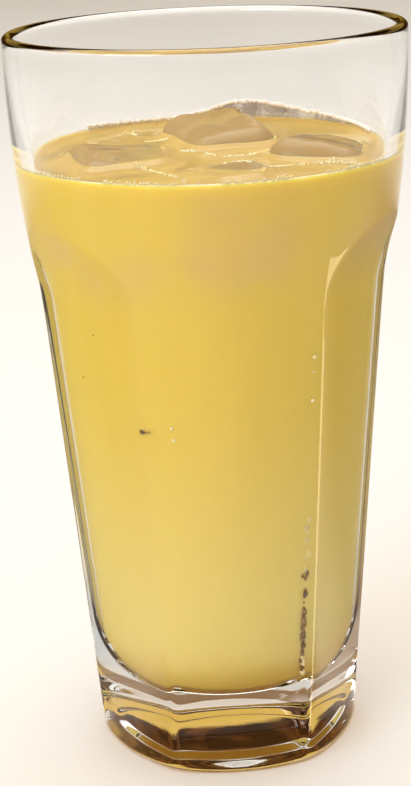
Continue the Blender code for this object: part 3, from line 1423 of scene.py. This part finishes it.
@dataclass
class Flecks:
    """Flecks of pulp and small bubbles caught between the drink and the wall, and a line of dark flecks
    by the right ridge that paints a strip of shade.
    """

    froth: Froth
    dark: PulpFleckAndShade = field(default_factory=lambda: PulpFleckAndShade("pulp_fleck_finish"))
    spots: tuple[tuple[float, float, float, int], ...] = (
        (-34.5, 75.0, 0.5, 2),
        (-25.0, 76.0, 0.34, 1),
        (-24.5, 73.5, 0.34, 1),
        (33.3, 88.5, 0.45, 1),
        (33.2, 85.5, 0.28, 1),
        (33.2, 79.5, 0.36, 1),
        (-69.0, 83.0, 0.25, 2),
        (-57.0, 93.0, 0.22, 2),
    )
    # Rows by the right ridge: those with finish 2 are dark flecks stretched into a line, a painted
    # strip of shade beside the ridge; the others are small bubbles.
    painted_shade_seam: tuple[tuple[float, float, float, int, int], ...] = (
        (33.4, 43.0, 55.0, 14, 0),
        (33.5, 20.0, 42.0, 34, 2),
        (33.5, 25.5, 33.5, 34, 2),
        (33.7, 18.0, 23.0, 18, 1),
    )
    seam_spread: float = 0.5
    seam_stretch: float = 2.2
    seed: int = 5

    def add(
        self,
        mesh: bmesh.types.BMesh,
        bearing: float,
        z: float,
        radius: float,
        finish: int,
        stretch: float = 1.0,
    ) -> None:
        """Adds one fleck or bubble on the drink's skin.

        Args:
            mesh: The mesh it joins.
            bearing: Bearing from the front, in degrees.
            z: Its height, in millimetres.
            radius: Its radius, in millimetres.
            finish: Index of its material: clear film, fine foam, or dark pulp, which also paints shade.
            stretch: How many times taller than wide it is.
        """
        place = self.froth.on_wall(bearing, z, radius)
        out = (self.froth.drink.shape.wall(z) + 0.1) / math.hypot(place.x, place.y)
        self.froth.bubble(mesh, Vector((place.x * out, place.y * out, z)), radius, finish, stretch)

    def build(self, bubbles: bpy.types.Object) -> bpy.types.Object:
        """Builds and dresses the flecks as one piece.

        Args:
            bubbles: The froth, whose materials the small bubbles share.

        Returns:
            The piece.
        """
        mesh = bmesh.new()
        chance = random.Random(self.seed)
        for bearing, z, radius, finish in self.spots:
            self.add(mesh, bearing, z, radius, finish)
        # The dark rows by the ridge paint a strip of shade beside it.
        for bearing, low, high, count, finish in self.painted_shade_seam:
            for _ in range(count):
                aside = bearing + chance.gauss(0.0, self.seam_spread)
                z, radius = chance.uniform(low, high), chance.uniform(0.15, 0.4)
                self.add(mesh, aside, z, radius, finish, self.seam_stretch)
        finishes = [*bubbles.data.materials[:2], self.dark.material()]
        piece = BENCH.finish("pulp_flecks", mesh, finishes)
        BENCH.hand_over(piece, Slot.DRINK)
        return piece


@dataclass
class WetFilm:
    """The thin sheet of drink left on the wall behind the ice, up to the line of film."""

    froth: Froth
    name: str = "wall_film_finish"
    inset: float = 0.2
    thickness: float = 0.1
    thin: Colour = (0.26, 0.17, 0.08)
    thick: Colour = (0.5, 0.36, 0.15)
    roughness: float = 0.08
    cover: tuple[float, float] = (0.6, -0.3)

    def line_height(self, bearing: float) -> float:
        """Height of the line of film.

        Args:
            bearing: Bearing from the front, in degrees.

        Returns:
            The height, in millimetres.
        """
        line = self.froth.film_line
        for (first, high), (last, low) in zip(line, line[1:]):
            if last <= bearing <= first:
                return low + (high - low) * (bearing - last) / (first - last)
        return line[-1][1]

    def material(self) -> bpy.types.Material:
        """Thin brownish liquid, uneven, through which the wall shows.

        Returns:
            The material.
        """
        finish = Finish(self.name)
        material, table, shader, place = finish.start()
        haze = finish.haze(table, place, 180.0, 0.3, 0.7)
        table.join(table.blend(haze, self.thin, self.thick), shader.inputs["Base Color"])
        shader.inputs["Roughness"].default_value = self.roughness
        cover = table.maths("MULTIPLY_ADD", haze, self.cover[1])
        cover.node.inputs[2].default_value = self.cover[0]
        table.join(cover, shader.inputs["Alpha"])
        return material

    def build(self) -> bpy.types.Object:
        """Builds and dresses the sheet.

        Returns:
            The piece.
        """
        mesh = bmesh.new()
        line = self.froth.film_line
        start, end = line[-1][0], line[0][0]
        low = self.froth.drink.contact() - 0.2
        bmesh.ops.create_grid(mesh, x_segments=120, y_segments=6, size=0.5)
        for corner in mesh.verts:
            bearing = start + (end - start) * (corner.co.x + 0.5)
            z = low + (self.line_height(bearing) - low) * (corner.co.y + 0.5)
            corner.co = self.froth.on_wall(bearing, z, self.inset) * MM
        bmesh.ops.solidify(mesh, geom=mesh.faces[:], thickness=self.thickness * MM)
        bmesh.ops.recalc_face_normals(mesh, faces=mesh.faces)
        piece = BENCH.finish("wall_film", mesh, [self.material()])
        BENCH.hand_over(piece, Slot.DRINK)
        return piece


@dataclass(frozen=True)
class Card:
    """A flat card on the floor, a sector of a ring, that only reflections or only the glass see."""

    name: str
    bearings: tuple[float, float]
    reach: tuple[float, float]
    colour: Colour
    seen_by: str
    height: float = 0.5
    origin: tuple[float, float] = (0.0, 0.0)
    glow: float = 0.0
    fade: float = 0.25
    around: Colour = (0.86, 0.85, 0.83)

    def build(self) -> bpy.types.Object:
        """Builds the card, which fades into the floor's colour, and hides it from every other ray.

        Returns:
            The card.
        """
        mesh = bmesh.new()
        bmesh.ops.create_grid(mesh, x_segments=40, y_segments=16, size=0.5)
        inner = mesh.verts.layers.float.new("inner")
        for corner in mesh.verts:
            across, along = corner.co.x + 0.5, corner.co.y + 0.5
            side = min(across, 1.0 - across) / self.fade if self.fade else 1.0
            end = (1.0 - along) / self.fade if self.fade else 1.0
            corner[inner] = min(1.0, side) * min(1.0, end)
            angle = math.radians(between(self.bearings, across))
            reach = between(self.reach, along)
            x = self.origin[0] + reach * math.sin(angle)
            y = self.origin[1] - reach * math.cos(angle)
            corner.co = Vector((x, y, self.height)) * MM
        finish = Finish(self.name + "_finish")
        material, table, shader, place = finish.start()
        haze = finish.haze(table, place, 60.0, 0.3, 0.7)
        shade = table.blend(haze, self.colour, darker(self.colour, 0.8))
        if self.fade:
            edge = table.add("ShaderNodeAttribute", attribute_name="inner")
            shade = table.blend(edge.outputs["Fac"], self.around, shade)
        table.join(shade, shader.inputs["Emission Color" if self.glow else "Base Color"])
        shader.inputs["Emission Strength"].default_value = self.glow
        shader.inputs["Roughness"].default_value = 0.9
        piece = BENCH.finish(self.name, mesh, [material])
        for ray in ("camera", "diffuse", "glossy", "transmission", "volume_scatter", "shadow"):
            setattr(piece, "visible_" + ray, ray == self.seen_by)
        return piece


@dataclass
class Studio:
    """Plain pale floor, soft lights and the camera at the photograph's angle."""

    floor_colour: Colour = (0.86, 0.85, 0.83)
    sky: Colour = (1.0, 0.99, 0.97)
    sky_strength: float = 0.98
    floor_gap: float = 0.15
    horizon: Colour = (0.21, 0.075, 0.018)
    horizon_gold: Colour = (1.0, 0.70, 0.17)
    cards: tuple[Card, ...] = (
        Card(
            "ridge_card", (74, 96), (6, 230), (1.0, 0.82, 0.5), "glossy",
            height=1.0, origin=(16.0, -28.0), glow=5.0, fade=0.0,
        ),
        Card("right_card", (90, 190), (31, 520), (0.30, 0.25, 0.21), "glossy"),
        Card("left_card", (-190, -80), (31, 520), (0.45, 0.40, 0.34), "glossy"),
        Card("foot_card", (-85, 85), (28, 66), (0.12, 0.07, 0.03), "glossy", height=0.6, fade=0.15),
        Card("right_edge_card", (188, 262), (60, 300), (0.26, 0.15, 0.08), "transmission"),
        Card(
            "back_card", (146, 206), (28.5, 34.5), (0.33, 0.21, 0.11), "transmission",
            height=0.4, fade=0.2,
        ),
        Card(
            "back_left_card", (172, 264), (34, 95), (0.40, 0.28, 0.19), "transmission",
            height=0.3, fade=0.2,
        ),
        Card(
            "back_right_card", (84, 172), (34, 120), (0.62, 0.71, 0.80), "transmission",
            height=0.3, fade=0.2,
        ),
    )
    horizon_distance: float = 2.6
    horizon_height: float = 1.6
    horizon_top: float = 2.4
    gold_from: tuple[float, float] = (0.62, 0.75)
    gold_to: tuple[float, float] = (1.27, 1.34)
    gold_waver: float = 0.16
    aim: float = 0.08
    distance: float = 373.3
    eye_height: float = 188.9
    turn: float = -5.6
    swing: float = 0.409
    pitch: float = 17.07
    roll: float = -2.32
    lens: float = 85.65

    def floor(self) -> None:
        """A wide matt floor."""
        mesh = bmesh.new()
        bmesh.ops.create_grid(mesh, x_segments=8, y_segments=8, size=4.0)
        bmesh.ops.translate(mesh, vec=Vector((0.0, 0.0, -self.floor_gap * MM)), verts=mesh.verts)
        finish = Finish("floor_finish")
        material, table, shader, place = finish.start()
        haze = finish.haze(table, place, 1.5, 0.2, 0.8)
        shade = table.blend(haze, self.floor_colour, darker(self.floor_colour, 0.98))
        table.join(shade, shader.inputs["Base Color"])
        shader.inputs["Roughness"].default_value = 0.9
        shader.inputs["Specular IOR Level"].default_value = 0.1
        piece = BENCH.finish("floor", mesh, [material])

    def horizon_finish(self) -> bpy.types.Material:
        """Warm brown with a golden band, mottled, for the screen all round.

        Returns:
            The material.
        """
        finish = Finish("surround_finish")
        material, table, shader, place = finish.start()
        waves = table.add("ShaderNodeTexNoise", Scale=2.5, Detail=3.0)
        table.join(place, waves.inputs["Vector"])
        shifted = table.add("ShaderNodeVectorMath", operation="MULTIPLY_ADD")
        table.join(waves.outputs["Color"], shifted.inputs[0])
        shifted.inputs[1].default_value = (self.gold_waver,) * 3
        table.join(place, shifted.inputs[2])
        under_top = finish.low_share(table, shifted.outputs[0], *self.gold_to)
        under_foot = finish.low_share(table, shifted.outputs[0], *self.gold_from)
        haze = finish.haze(table, place, 4.0, 0.4, 0.6)
        brown = table.blend(haze, self.horizon, darker(self.horizon, 0.2))
        shade = table.blend(table.maths("SUBTRACT", under_top, under_foot), brown, self.horizon_gold)
        table.join(shade, shader.inputs["Base Color"])
        shader.inputs["Roughness"].default_value = 0.9
        shader.inputs["Specular IOR Level"].default_value = 0.0
        return material

    def surround(self) -> None:
        """A warm screen all round, which only the glass sees; its upper part holds no light back."""
        material = self.horizon_finish()
        spans = (
            ("surround", 0.0, self.horizon_height),
            ("surround_top", self.horizon_height, self.horizon_top),
        )
        for name, low, high in spans:
            mesh = bmesh.new()
            placed = Matrix.Translation(Vector((0.0, 0.0, low)))
            bmesh.ops.create_circle(mesh, segments=96, radius=self.horizon_distance, matrix=placed)
            made = bmesh.ops.extrude_edge_only(mesh, edges=mesh.edges[:])["geom"]
            raised = [item for item in made if isinstance(item, bmesh.types.BMVert)]
            bmesh.ops.translate(mesh, vec=Vector((0.0, 0.0, high - low)), verts=raised)
            piece = BENCH.finish(name, mesh, [material])
            piece.visible_camera = False
            piece.visible_diffuse = piece.visible_shadow = low == 0.0

    def lamp(self, name: str, place: Vector, size: float, power: float, colour: Colour) -> None:
        """A soft square light aimed at the glass.

        Args:
            name: The lamp's name.
            place: Where it hangs, in metres.
            size: Its side, in metres.
            power: Its power in watts.
            colour: Its colour.
        """
        light = bpy.data.lights.new(name, "AREA")
        light.shape = "RECTANGLE"
        light.size = light.size_y = size
        light.energy = power
        light.color = colour
        lamp = bpy.data.objects.new(name, light)
        lamp.location = place
        aim = Vector((0, 0, self.aim)) - place
        lamp.rotation_euler = aim.to_track_quat("-Z", "Y").to_euler()
        bpy.context.scene.collection.objects.link(lamp)

    def lights(self) -> None:
        """Sky light, a soft key from the left and a weak fill from above."""
        world = bpy.data.worlds.new("studio")
        world.use_nodes = True
        background = world.node_tree.nodes["Background"]
        background.inputs["Color"].default_value = (*self.sky, 1.0)
        background.inputs["Strength"].default_value = self.sky_strength
        bpy.context.scene.world = world
        self.lamp("key", Vector((-0.85, -0.75, 0.75)), 0.7, 8.2, (1.0, 0.98, 0.94))
        self.lamp("top", Vector((0.1, 0.35, 1.1)), 0.8, 4.0, (1.0, 1.0, 1.0))

    def camera(self) -> None:
        """The camera where the photograph was taken from."""
        data = bpy.data.cameras.new("camera")
        data.lens = self.lens
        data.sensor_width = 36.0
        data.sensor_fit = "AUTO"
        camera = bpy.data.objects.new("camera", data)
        turn = math.radians(self.turn)
        across, back = self.distance * math.sin(turn), self.distance * math.cos(turn)
        camera.matrix_world = (
            Matrix.Translation(Vector((across, -back, self.eye_height)) * MM)
            @ Matrix.Rotation(math.radians(self.swing) + turn, 4, "Z")
            @ Matrix.Rotation(math.radians(90 - self.pitch), 4, "X")
            @ Matrix.Rotation(math.radians(self.roll), 4, "Z")
        )
        bpy.context.scene.collection.objects.link(camera)
        bpy.context.scene.camera = camera

    def build(self) -> None:
        """Sets the stage."""
        self.floor()
        self.surround()
        for card in self.cards:
            card.build()
        self.lights()
        self.camera()
        bpy.context.scene.view_settings.view_transform = "Standard"


def main() -> None:
    """Builds the tumbler, the ice, the drink and its bubbles, and sets the stage."""
    logging.basicConfig(level=logging.INFO, format="%(name)s %(message)s")
    shape = TumblerShape()
    Tumbler(shape).build()
    ice = IceLoad()
    ice.build()
    drink = Lemonade(shape, ice)
    drink.build()
    froth = Froth(drink)
    bubbles = froth.build()
    WetFilm(froth).build()
    Flecks(froth).build(bubbles)
    Studio().build()


if __name__ == "__main__":
    main()
